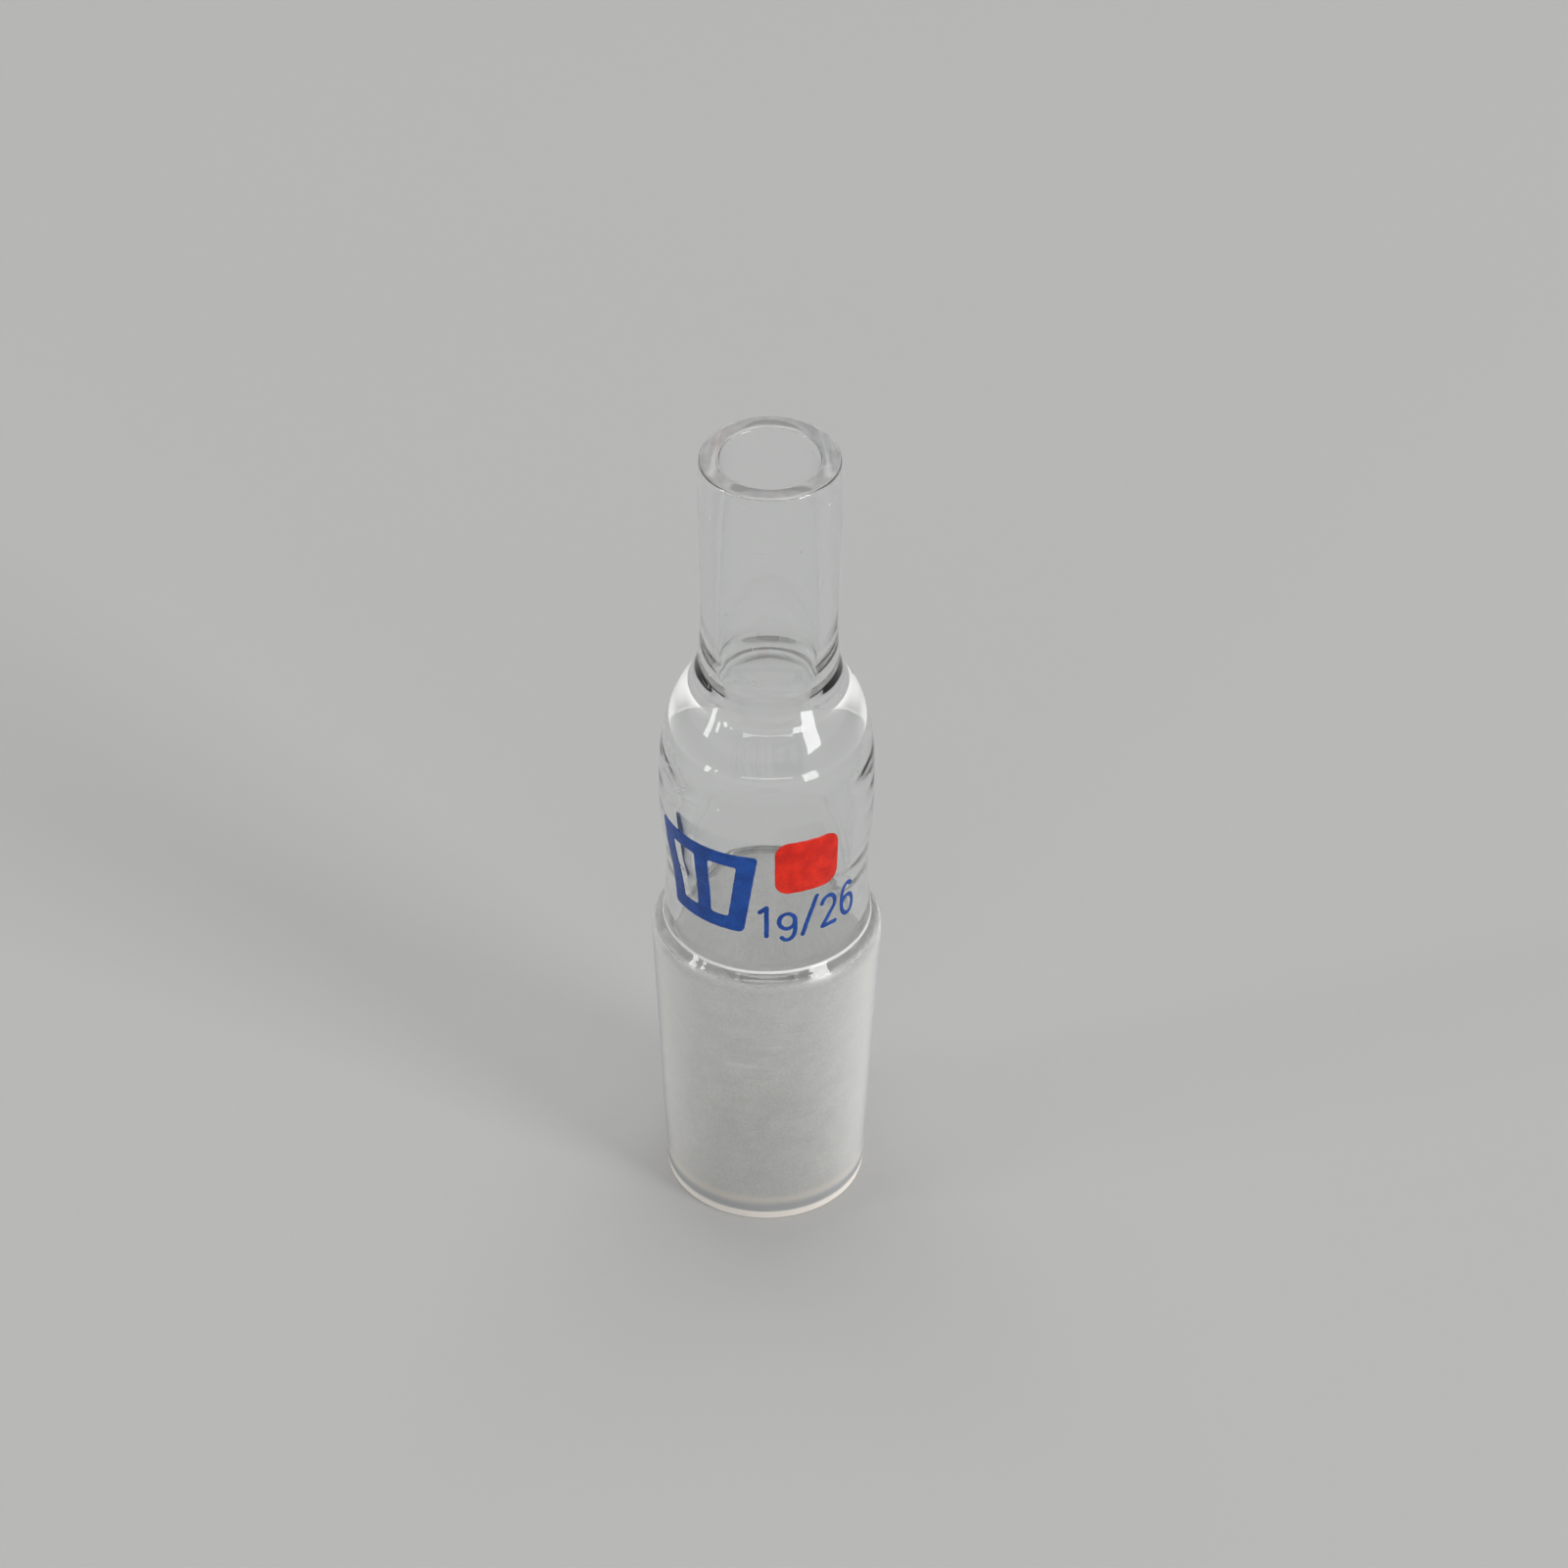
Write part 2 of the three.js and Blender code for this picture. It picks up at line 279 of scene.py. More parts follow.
GLASS_IOR = 1.473
ENAMEL_IOR = 1.36
GLASS_TINT = (0.985, 0.993, 0.99, 1)
# The next colour is painted shade: the clear glass's tint at its outline.
EDGE_SHADE_TINT = (0.74, 0.78, 0.78, 1)
FROST_PALE = (0.95, 0.95, 0.93, 1)
FROST_DARK = (0.56, 0.562, 0.542, 1)
# The next two colours, on the ground cone, are painted shadow and a painted glow.
FROST_SHADOW = (0.5, 0.53, 0.57, 1)
RIM_GLOW = (1.0, 0.95, 0.88, 1)
RIM_PALE = (0.93, 0.93, 0.91, 1)
RIM_SHADE = (0.84, 0.84, 0.83, 1)
DUST = (0.95, 0.94, 0.92, 1)
# The colour of the painted highlight round the crease.
HIGHLIGHT_WHITE = (1, 1, 1, 1)

# A scratch shows where its noise is over this level, less the scratch's own width.
SCRATCH_LEVEL = 0.68
SCRATCH_FULL = 0.7

# Where the clear glass has been handled and how far round that it is scuffed, in millimetres, and
# how strong its scuffs, its drawing lines and its painted shade at the outline are.
SCUFF_PLACE = (-7.5, -3.0, 43.5)
SCUFF_REACH = (1.5, 5.0)
SCATTERED_SHARE = 0.5
SCUFF_SHARE = 0.35
DRAWN_SHARE = 0.3
MARK_ROUGH = 0.3
EDGE_POWER = 3.5

# Where the frost ends at the shoulder, over what height it fades, and how far its edge wanders.
FROST_TOP = 25.6
FROST_FADE = 1.3
FROST_RAGGED = 0.5

# Painted rings round the ground cone, of light, of shadow and of the crease's highlight: the heights
# in millimetres where each starts, is full, fades, ends.
PAINTED_LIGHT_RING = (1.7, 2.1, 2.2, 3.0)
SHADOW_RING = (0.8, 1.1, 1.4, 1.9)
CREASE_HIGHLIGHT_RING = (26.9, 27.02, 27.14, 27.26)
# Below these heights the thick lower rim is painted with a glow.
RIM_GLOW_FADE = (0.7, 1.0)
PAINTED_RING_SHARE = 0.8

# The frost's tone is a weighted sum of its grain, its mottling and its grinding rings.
GRAIN_SHARE = 0.8
MOTTLE_SHARE = 0.4
GRINDING_SHARE = 0.25
TONE_RANGE = (0.3, 1.15)
LINE_SHARE = 0.5

# Painted light and shade: the frost is painted paler towards the outline, and a little darker right
# at it.
OUTLINE_RANGE = (0.2, 0.8)
OUTLINE_LIGHT_SHARE = 0.7
EDGE_SHADE_RANGE = (0.72, 1.0)
EDGE_SHADE_SHARE = 0.6

# The frost's relief, weighted against its grain.
FINE_RELIEF = 0.6
GRINDING_RELIEF = 0.4
LINE_RELIEF = 0.5
FROST_DEPTH = 0.02 * MM
FROST_BUMP = 0.6
FROST_ROUGH = 0.6

# How much light goes through the frost and through the lower rim with its painted glow, and what
# takes
# from it: the painted paler outline, wear and the painted highlight in the crease.
FROST_THROUGH = 0.74
RIM_THROUGH = 0.4
OUTLINE_LOSS = 0.3
WEAR_LOSS = 0.25
CREASE_HIGHLIGHT_LOSS = 0.6


def scratches(graph, place, tilt, spacing, width, patch, breaks=0.05):
    """Fine lines round the glass, tilted off level in degrees and shown where the patch is 1."""
    angle = math.radians(tilt)
    turned = graph.add("VectorRotate", {"rotation_type": "X_AXIS"}, Vector=place, Angle=angle)
    stretched = graph.stretched(turned.outputs[0], (breaks, breaks, 1 / spacing))
    lines = graph.noise(stretched, scale=1.0, detail=1.0)
    line = graph.fade(lines, SCRATCH_LEVEL - width, SCRATCH_FULL)
    return graph.maths("MULTIPLY", line, patch)


def patches(graph, place, scale, low, high):
    """Broad soft patches that go from 0 to 1."""
    return graph.fade(graph.noise(place, scale, detail=2.0), low, high)


def specks(graph, place, scale, size, share):
    """Scattered dots: one in this share of the cells."""
    cells = graph.add("TexVoronoi", {"feature": "F1"}, Vector=place, Scale=scale)
    near = graph.fade(cells.outputs["Distance"], size * 0.5, size, 1, 0)
    some = graph.add("TexWhiteNoise", Vector=cells.outputs["Position"]).outputs["Value"]
    return graph.maths("MULTIPLY", near, graph.maths("LESS_THAN", some, share))


def band(graph, height, heights):
    """1 between the middle two heights, fading to 0 at the outer two."""
    start, full, fading, end = heights
    rising = graph.fade(height, start, full)
    return graph.maths("MULTIPLY", rising, graph.fade(height, fading, end, 1, 0))


def scuffs(graph, place):
    """Fine crossing scratches where the glass has been handled, and a few in other places."""
    here = graph.add("VectorMath", {"operation": "DISTANCE"})
    graph.put(here.inputs[0], place)
    graph.put(here.inputs[1], SCUFF_PLACE)
    handled = graph.fade(here.outputs["Value"], *SCUFF_REACH, 1, 0)
    scattered = patches(graph, place, scale=0.16, low=0.64, high=0.74)
    worn = graph.maths("MAXIMUM", handled, graph.maths("MULTIPLY", scattered, SCATTERED_SHARE))
    level = scratches(graph, place, tilt=12, spacing=0.35, width=0.01, patch=worn, breaks=0.18)
    steep = scratches(graph, place, tilt=-24, spacing=0.5, width=0.005, patch=handled, breaks=0.18)
    return graph.maths("MAXIMUM", level, steep)


def clear_glass():
    """Fire-polished borosilicate glass with drawing lines, light scuffs and a few specks.

    It darkens a little towards its outline, where the way through the wall is longest: painted shade
    in its tint."""
    graph = Graph("clear_glass")
    place = graph.place()
    drawn = graph.noise(graph.stretched(place, (1, 1, 0.05)), scale=1.1, detail=2.0)
    scuff = scuffs(graph, place)
    dust = specks(graph, place, scale=0.42, size=0.055, share=0.35)
    relief = graph.maths("ADD", scuff, dust)
    relief = graph.maths("ADD", graph.maths("MULTIPLY", drawn, DRAWN_SHARE), relief)
    bump = graph.add("Bump", Height=relief, Strength=0.5, Distance=0.003 * MM)
    marks = graph.maths("MAXIMUM", graph.maths("MULTIPLY", scuff, SCUFF_SHARE), dust)
    outline = graph.add("LayerWeight", Blend=0.5).outputs["Facing"]
    # Painted shade: the tint deepens towards the outline.
    tint = graph.mixed(graph.maths("POWER", outline, EDGE_POWER), GLASS_TINT, EDGE_SHADE_TINT)
    shader = graph.add(
        "BsdfPrincipled",
        Base_Color=graph.mixed(dust, tint, DUST),
        Roughness=graph.maths("MULTIPLY", marks, MARK_ROUGH),
        IOR=GLASS_IOR,
        Transmission_Weight=graph.maths("SUBTRACT", 1.0, marks),
        Normal=bump.outputs[0],
    )
    return graph.finish(shader)


def grinding_lines(graph, place):
    """Patches of fine scratches, level and slightly tilted, that stand out pale in the frost."""
    first = patches(graph, place, scale=0.12, low=0.5, high=0.62)
    tilted = scratches(graph, place, tilt=8, spacing=0.3, width=0.02, patch=first)
    second = patches(graph, place, scale=0.1, low=0.48, high=0.62)
    level = scratches(graph, place, tilt=1, spacing=0.22, width=0.02, patch=second)
    return graph.maths("MULTIPLY", graph.maths("MAXIMUM", tilted, level), LINE_SHARE)


def frost_tone(graph, place, grain, grinding, worn):
    """How pale the frost is, from 0 to 1."""
    mottle = graph.noise(place, scale=0.55, detail=4.0, rough=0.65)
    mottle = graph.maths("MULTIPLY", mottle, MOTTLE_SHARE)
    tone = graph.maths("MULTIPLY_ADD", grain, GRAIN_SHARE, mottle)
    tone = graph.maths("MULTIPLY_ADD", grinding, GRINDING_SHARE, tone)
    return graph.maths("MAXIMUM", graph.fade(tone, *TONE_RANGE), worn)


def frost_colour(graph, tone, height, rim, facing, outline):
    """The frost's colour: painted light paler towards its outline and painted shade right at it, and
    painted rings of light and shadow and a painted glow near the thick lower rim.
    """
    frost = graph.mixed(tone, FROST_DARK, FROST_PALE)
    # Painted light: paler towards the outline, then painted shade right at it.
    frost = graph.mixed(graph.maths("MULTIPLY", outline, OUTLINE_LIGHT_SHARE), frost, FROST_PALE)
    edge_shade = graph.fade(facing, *EDGE_SHADE_RANGE, 0, EDGE_SHADE_SHARE)
    frost = graph.mixed(edge_shade, frost, FROST_SHADOW)
    # Painted rings of light and shadow near the foot, then the rim's painted glow.
    for heights, colour in ((PAINTED_LIGHT_RING, RIM_GLOW), (SHADOW_RING, FROST_SHADOW)):
        share = graph.maths("MULTIPLY", band(graph, height, heights), PAINTED_RING_SHARE)
        frost = graph.mixed(share, frost, colour)
    return graph.mixed(rim, frost, RIM_GLOW)


def frost_relief(graph, place, grain, grinding, line):
    """The height of the ground surface."""
    fine = graph.noise(place, scale=16.0, detail=2.0, rough=0.7)
    relief = graph.maths("ADD", grain, graph.maths("MULTIPLY", fine, FINE_RELIEF))
    relief = graph.maths("MULTIPLY_ADD", grinding, GRINDING_RELIEF, relief)
    return graph.maths("SUBTRACT", relief, graph.maths("MULTIPLY", line, LINE_RELIEF))


def light_through(graph, rim, outline, worn, clear, crease_highlight):
    """The share of light that goes through the ground cone: lower on the rim's painted glow, the
    painted paler outline and the crease's painted highlight, and where it is worn.
    """
    through = graph.fade(rim, 0, 1, FROST_THROUGH, RIM_THROUGH)
    for part, loss in ((outline, OUTLINE_LOSS), (worn, WEAR_LOSS)):
        through = graph.maths("SUBTRACT", through, graph.maths("MULTIPLY", part, loss))
    through = graph.maths("MAXIMUM", through, clear, clamp=True)
    return graph.maths("MULTIPLY_ADD", crease_highlight, -CREASE_HIGHLIGHT_LOSS, through)


def ground_glass():
    """The ground zone: finely frosted, with grinding lines, wear, a painted highlight in the crease
    and a thick lower rim painted with a glow.

    The frost ends at the shoulder, where the flame has left the glass clear."""
    graph = Graph("ground_glass")
    place = graph.place()
    height = graph.add("SeparateXYZ", Vector=place).outputs["Z"]
    edge = graph.noise(place, scale=1.1, detail=4.0)
    edge = graph.maths("MULTIPLY_ADD", edge, FROST_RAGGED, height)
    clear = graph.fade(edge, FROST_TOP, FROST_TOP + FROST_FADE)
    frosted = graph.maths("SUBTRACT", 1.0, clear)
    grain = graph.noise(place, scale=5.5, detail=3.0, rough=0.75)
    level = graph.stretched(place, (0.1, 0.1, 4))
    grinding = graph.noise(level, scale=1.5, detail=4.0, rough=0.7)
    line = grinding_lines(graph, place)
    worn = graph.maths("MAXIMUM", line, specks(graph, place, scale=0.6, size=0.06, share=0.3))
    # Painted light and shade follow the outline.
    facing = graph.add("LayerWeight", Blend=0.5).outputs["Facing"]
    outline = graph.fade(facing, *OUTLINE_RANGE)
    # Painted glow on the thick lower rim.
    rim = graph.fade(height, *RIM_GLOW_FADE, 1, 0)
    # Painted highlight: a white line round the crease, letting less light through.
    crease_highlight = band(graph, height, CREASE_HIGHLIGHT_RING)
    tone = frost_tone(graph, place, grain, grinding, worn)
    frost = frost_colour(graph, tone, height, rim, facing, outline)
    relief = frost_relief(graph, place, grain, grinding, line)
    strength = graph.maths("MULTIPLY", frosted, FROST_BUMP)
    bump = graph.add("Bump", Height=relief, Strength=strength, Distance=FROST_DEPTH)
    shader = graph.add(
        "BsdfPrincipled",
        Base_Color=graph.mixed(crease_highlight, graph.mixed(clear, frost, GLASS_TINT), HIGHLIGHT_WHITE),
        Roughness=graph.maths("MULTIPLY", frosted, FROST_ROUGH),
        IOR=GLASS_IOR,
        Transmission_Weight=light_through(graph, rim, outline, worn, clear, crease_highlight),
        Normal=bump.outputs[0],
    )
    return graph.finish(shader)


def rim_glass():
    """The stem's cut rim, softened by the flame: satin, with faint ripples round it."""
    graph = Graph("rim_glass")
    place = graph.place()
    wave = graph.noise(place, scale=0.8, detail=2.0)
    bump = graph.add("Bump", Height=wave, Strength=0.6, Distance=0.06 * MM)
    shader = graph.add(
        "BsdfPrincipled",
        Base_Color=graph.mixed(graph.fade(wave, 0.35, 0.65), RIM_SHADE, RIM_PALE),
        Roughness=graph.fade(wave, 0.3, 0.7, 0.14, 0.2),
        IOR=GLASS_IOR,
        Transmission_Weight=graph.fade(wave, 0.3, 0.7, 0.6, 0.72),
        Normal=bump.outputs[0],
    )
    return graph.finish(shader)


def seam_face():
    """The flat end where two sections of glass are one: nothing of it shows."""
    graph = Graph("fused_seam")
    shader = graph.add("BsdfPrincipled", Base_Color=GLASS_TINT, IOR=GLASS_IOR, Alpha=0.0)
    return graph.finish(shader)


def enamel(name, colour, deep):
    """Fired enamel: glossy and opaque, a little uneven in colour and thickness."""
    graph = Graph(name)
    place = graph.place()
    cloud = graph.fade(graph.noise(place, scale=0.9, detail=4.0, rough=0.6), 0.35, 0.7)
    grain = graph.noise(place, scale=14.0)
    bump = graph.add("Bump", Height=grain, Strength=0.25, Distance=0.01 * MM)
    shader = graph.add(
        "BsdfPrincipled",
        Base_Color=graph.mixed(cloud, deep, colour),
        Roughness=graph.fade(grain, 0.3, 0.7, 0.2, 0.38),
        IOR=ENAMEL_IOR,
        Normal=bump.outputs[0],
    )
    return graph.finish(shader)


CLEAR = clear_glass()
GROUND = ground_glass()
SEAM = seam_face()
RIM = rim_glass()
BLUE = enamel("blue_enamel", colour=(0.01, 0.07, 0.33, 1), deep=(0.005, 0.045, 0.23, 1))
RED = enamel("red_enamel", colour=(0.7, 0.022, 0.007, 1), deep=(0.5, 0.01, 0.004, 1))

# ---- Glass sections -----------------------------------------------------------------------

SIDES = 192
EDGE_STEPS = 8
FACE_CORNERS = 4

# How far apart the rows of a wall are, in the stretch that starts at each height.
ROWS = (
    (0, 0.8 * MM),
    (24 * MM, 0.2 * MM),
    (26.4 * MM, 0.06 * MM),
    (27.6 * MM, 0.2 * MM),
    (58 * MM, 0.8 * MM),
)

# The glass sections' material slots.
GLASS_MATERIALS = (GROUND, CLEAR, SEAM, RIM)
GROUND_SLOT, CLEAR_SLOT, SEAM_SLOT, RIM_SLOT = range(4)


def new_piece(name, vertices, faces, materials, face_slots=None):
    """An object with smooth faces that rides on the part's one body."""
    mesh = bpy.data.meshes.new(name)
    mesh.from_pydata(vertices, [], faces)
    for material in materials:
        mesh.materials.append(material)
    if face_slots is not None:
        mesh.polygons.foreach_set("material_index", face_slots)
    mesh.shade_smooth()
    mesh.update()
    piece = bpy.data.objects.new(name, mesh)
    bpy.context.scene.collection.objects.link(piece)
    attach(piece, "root")
    return piece


def levels(low, high):
    """Heights up a wall, with the rows closest where it bends most."""
    ends = [start for start, _ in ROWS[1:]] + [TOP]
    rows = [low]
    for (start, row), end in zip(ROWS, ends):
        bottom, top = max(low, start), min(high, end)
        if top > bottom:
            rows.extend(np.linspace(bottom, top, math.ceil((top - bottom) / row) + 1)[1:])
    return rows


def edge_arc(side, height, size, start, end):
    """Radius and height of points that round a rim's edge."""
    middle = float(curve_radius(CURVES[side], np.array(height))) - side * size
    turns = np.linspace(math.radians(start), math.radians(end), EDGE_STEPS + 1)
    return [(side, middle + size * math.cos(t), height + size * math.sin(t)) for t in turns]


def wall(side, low, high):
    """A wall's rows, from low to high."""
    return [(side, None, height) for height in levels(low, high)]


def glass_section(name, node, wall_slots, low_rim=(), high_rim=()):
    """A closed turned section of glass that stands for one CAD node.

    It goes up the outside, over the upper end, down the inside and back. An end with no rim is a
    seam, where the next section carries on."""
    low, high = (corner.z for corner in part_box(node))
    first = {side: low + (BASE_EDGES[side] if low_rim else 0) for side in (OUTSIDE, INSIDE)}
    last = high - (STEM_EDGE if high_rim else 0)
    outer = wall(OUTSIDE, first[OUTSIDE], last)
    inner = wall(INSIDE, first[INSIDE], last)[::-1]
    rows = [*outer, *high_rim, *inner, *low_rim]
    turns = np.arange(SIDES) * 2 * math.pi / SIDES
    rings = [glass_points(side, turns, np.full(SIDES, z), radius) for side, radius, z in rows]
    vertices = np.concatenate(rings)
    strips = strip_slots(len(outer), len(high_rim), len(inner), len(low_rim), wall_slots)
    faces = ring_faces(len(rows))
    slots = np.repeat(strips, SIDES)
    piece = new_piece(name, vertices, faces, GLASS_MATERIALS, slots)
    seams = [i for i, slot in enumerate(strips) if slot == SEAM_SLOT]
    join_normals(piece, rows, turns, seams)
    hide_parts(node)


def ring_faces(count):
    """Faces between each ring of points and the next, and from the last back to the first."""
    faces = []
    for i in range(count):
        here, above = i * SIDES, (i + 1) % count * SIDES
        for j in range(SIDES):
            beside = (j + 1) % SIDES
            faces.append((here + j, here + beside, above + beside, above + j))
    return faces


def strip_slots(outer, high_rim, inner, low_rim, wall_slots):
    """The material slot of each ring of faces, in the order of the rows.

    The stem's rim is satin on its flat and on the upper half of each rounded edge."""
    outer_slot, inner_slot = wall_slots
    polished = EDGE_STEPS // 2
    satin = high_rim + 1 - 2 * polished
    upper_end = [SEAM_SLOT]
    if high_rim:
        upper_end = [outer_slot] * polished + [RIM_SLOT] * satin + [inner_slot] * polished
    lower_end = [outer_slot] * (low_rim + 1) if low_rim else [SEAM_SLOT]
    return [outer_slot] * (outer - 1) + upper_end + [inner_slot] * (inner - 1) + lower_end


def join_normals(piece, rows, turns, seams):
    """Gives both sides of a seam the wall's own normals, so that light sees one sheet of glass."""
    mesh = piece.data
    normals = np.zeros((len(mesh.vertices), 3), np.float32)
    mesh.vertex_normals.foreach_get("vector", normals.ravel())
    for seam in seams:
        for row in (seam, (seam + 1) % len(rows)):
            side, _, height = rows[row]
            ring = glass_normals(side, turns, np.full(SIDES, height))
            normals[row * SIDES:(row + 1) * SIDES] = ring
    corners = np.zeros(len(mesh.loops), np.int32)
    mesh.loops.foreach_get("vertex_index", corners)
    slots = np.zeros(len(mesh.polygons), np.int32)
    mesh.polygons.foreach_get("material_index", slots)
    flat = np.zeros((len(mesh.polygons), 3), np.float32)
    mesh.polygon_normals.foreach_get("vector", flat.ravel())
    on_seam = np.repeat(slots == SEAM_SLOT, FACE_CORNERS)
    flat = np.repeat(flat, FACE_CORNERS, axis=0)
    by_corner = np.where(on_seam[:, None], flat, normals[corners])
    mesh.normals_split_custom_set(by_corner.tolist())


def make_glass():
    """The four sections, from the ground cone up to the stem's rim."""
    low_rim = [
        *edge_arc(INSIDE, BASE_EDGES[INSIDE], BASE_EDGES[INSIDE], 180, 270),
        *edge_arc(OUTSIDE, BASE_EDGES[OUTSIDE], BASE_EDGES[OUTSIDE], 270, 360),
    ]
    rim_level = TOP - STEM_EDGE
    high_rim = [
        *edge_arc(OUTSIDE, rim_level, STEM_EDGE, 0, 90),
        *edge_arc(INSIDE, rim_level, STEM_EDGE, 90, 180),
    ]
    glass_section("cone_glass", "ground_cone", (GROUND_SLOT, CLEAR_SLOT), low_rim=low_rim[1:-1])
    glass_section("collar_glass", "clear_collar", (CLEAR_SLOT, CLEAR_SLOT))
    glass_section("body_glass", "blown_body", (CLEAR_SLOT, CLEAR_SLOT))
    glass_section("stem_glass", "stem_tube", (CLEAR_SLOT, CLEAR_SLOT), high_rim=high_rim[1:-1])


# ---- Enamel marks -------------------------------------------------------------------------

# The marks are drawn flat in millimetres, as arc length and height, by their signed distance:
# negative inside, zero on the edge.
MARK_RADIUS = 8.4
FILM_PROUD = 0.045
FILM_SUNK = 0.015
FILM_EDGE = 0.12
EDGE_WEAR = 0.014

FIGURE_BASE = 30.5
FIGURE_HEIGHT = 3.35
FIGURE_WIDTH = 1.75
STROKE = 0.4
MIDDLE = FIGURE_WIDTH / 2
REACH = (FIGURE_WIDTH - STROKE) / 2
LOW = STROKE / 2
HIGH = FIGURE_HEIGHT - STROKE / 2
BOWL_RISE = 0.86
POST = STROKE * 1.9
FLAG_TIP = (0.2, HIGH - 0.5)
TAIL_RISE = 1.1
TAIL_END = -132
CROWN_TURN = (165, -30)
TWO_FOOT = ((1.3 * LOW, LOW), (FIGURE_WIDTH - LOW, LOW))
NINE_STRETCH = 0.9
SIX_STRETCH = 1.05
SLASH_ENDS = ((0.05, 0.05), (1.3, FIGURE_HEIGHT + 0.3))


def stroke(x, y, points):
    """A line of even width through the points."""
    nearest = np.full(x.shape, np.inf)
    for (x0, y0), (x1, y1) in zip(points, points[1:]):
        along_x, along_y = x1 - x0, y1 - y0
        length = along_x ** 2 + along_y ** 2
        share = np.clip(((x - x0) * along_x + (y - y0) * along_y) / length, 0, 1)
        nearest = np.minimum(nearest, np.hypot(x - x0 - share * along_x, y - y0 - share * along_y))
    return nearest - STROKE / 2


def oval(x, y, radius_x, radius_y, start, end, steps=32):
    """Points along part of an ellipse, from one angle in degrees to another."""
    turns = np.radians(np.linspace(start, end, steps + 1))
    return [(x + radius_x * math.cos(t), y + radius_y * math.sin(t)) for t in turns]


def rounded(x, y, corners, rounding):
    """A figure with straight sides and rounded corners, given counter-clockwise."""
    planes = []
    for (x0, y0), (x1, y1) in zip(corners, corners[1:] + corners[:1]):
        length = math.hypot(x1 - x0, y1 - y0)
        planes.append(((x - x0) * (y1 - y0) - (y - y0) * (x1 - x0)) / length + rounding)
    outside = np.sqrt(sum(np.maximum(plane, 0) ** 2 for plane in planes))
    inside = np.minimum(np.max(planes, axis=0), 0)
    return outside + inside - rounding


def trapezium(bottom_left, bottom_right, top_left, top_right, bottom, top):
    return [(bottom_left, bottom), (bottom_right, bottom), (top_right, top), (top_left, top)]


def numeral_one(x, y):
    post = stroke(x, y, [(POST, LOW), (POST, HIGH)])
    return np.minimum(post, stroke(x, y, [(POST, HIGH), FLAG_TIP]))


def nine(x, y):
    centre = HIGH - BOWL_RISE
    bowl = stroke(x, y, oval(MIDDLE, centre, REACH, BOWL_RISE, 0, 360, 48))
    curl = oval(MIDDLE, LOW + TAIL_RISE, REACH, TAIL_RISE, 0, TAIL_END)
    tail = [(MIDDLE + REACH, centre), *curl]
    return np.minimum(bowl, stroke(x, y, tail))


def numeral_nine(x, y):
    return nine(x, y / NINE_STRETCH)


def numeral_six(x, y):
    return nine(2 * MIDDLE - x, FIGURE_HEIGHT - y / SIX_STRETCH)


def numeral_two(x, y):
    crown = oval(MIDDLE, HIGH - BOWL_RISE, REACH, BOWL_RISE, *CROWN_TURN)
    return stroke(x, y, [*crown, *TWO_FOOT])


def slash(x, y):
    return stroke(x, y, SLASH_ENDS)


SYMBOL_HEIGHT = 8.2
SYMBOL_TOP_HALF = 9.8 / 2
SYMBOL_BOTTOM_HALF = 7.2 / 2
SYMBOL_BAR = 1.35
SYMBOL_TOP_CORNER = SYMBOL_BAR * 1.3
SYMBOL_ROUNDING = 0.45
WINDOW_ROUNDING = 0.22


def joint_symbol(x, y):
    """A plain tapered frame with its centre line: the outline of a cone joint."""
    foot, head = SYMBOL_BOTTOM_HALF, SYMBOL_TOP_HALF
    outline = trapezium(-foot, foot, -head, head, 0, SYMBOL_HEIGHT)
    side = SYMBOL_BAR / 2
    in_top = head - SYMBOL_TOP_CORNER
    in_bottom = foot - SYMBOL_BAR
    window = trapezium(side, in_bottom, side, in_top, SYMBOL_BAR, SYMBOL_HEIGHT - SYMBOL_BAR)
    frame_shape = rounded(x, y, outline, SYMBOL_ROUNDING)
    return np.maximum(frame_shape, -rounded(np.abs(x), y, window, WINDOW_ROUNDING))


PATCH_SIDE = 5.4
PATCH_ROUNDING = 1.2


def colour_patch(x, y):
    half = PATCH_SIDE / 2
    return rounded(x, y, trapezium(-half, half, -half, half, -half, half), PATCH_ROUNDING)


# How far each shape reaches, as left, right, bottom and top, and the size of the cells it is cut in.
SYMBOL_REACH = (-5.3, 5.3, -0.3, 8.5)
PATCH_REACH = (-3.0, 3.0, -3.0, 3.0)
FIGURE_REACH = (-0.3, 2.2, -0.3, 4.0)
CELL = 0.08
FIGURE_CELL = 0.05
NINE_BASE = FIGURE_BASE - 0.45

# Name, CAD node, shape, reach, where it lies, cell, material.
MARKS = (
    ("symbol_enamel", "joint_symbol", joint_symbol, SYMBOL_REACH, (-5.5, 30.9), CELL, BLUE),
    ("patch_enamel", "colour_patch", colour_patch, PATCH_REACH, (3.4, 37.8), CELL, RED),
    ("one_enamel", "numeral_1", numeral_one, FIGURE_REACH, (-0.75, FIGURE_BASE), FIGURE_CELL, BLUE),
    ("nine_enamel", "numeral_9", numeral_nine, FIGURE_REACH, (0.85, NINE_BASE), FIGURE_CELL, BLUE),
    ("slash_enamel", "size_slash", slash, FIGURE_REACH, (3.0, FIGURE_BASE), FIGURE_CELL, BLUE),
    ("two_enamel", "numeral_2", numeral_two, FIGURE_REACH, (4.6, FIGURE_BASE), FIGURE_CELL, BLUE),
    ("six_enamel", "numeral_6", numeral_six, FIGURE_REACH, (6.75, FIGURE_BASE), FIGURE_CELL, BLUE),
)

# A grid point nearer the edge than this share of a cell counts as just inside it.
EDGE_SHARE = 0.05


def ragged(x, y):
    """The slight raggedness of a screened and fired edge."""
    return EDGE_WEAR * (np.sin(7.1 * x + 3.3 * y) + np.sin(11.7 * y - 5.9 * x + 1.0)) / 2


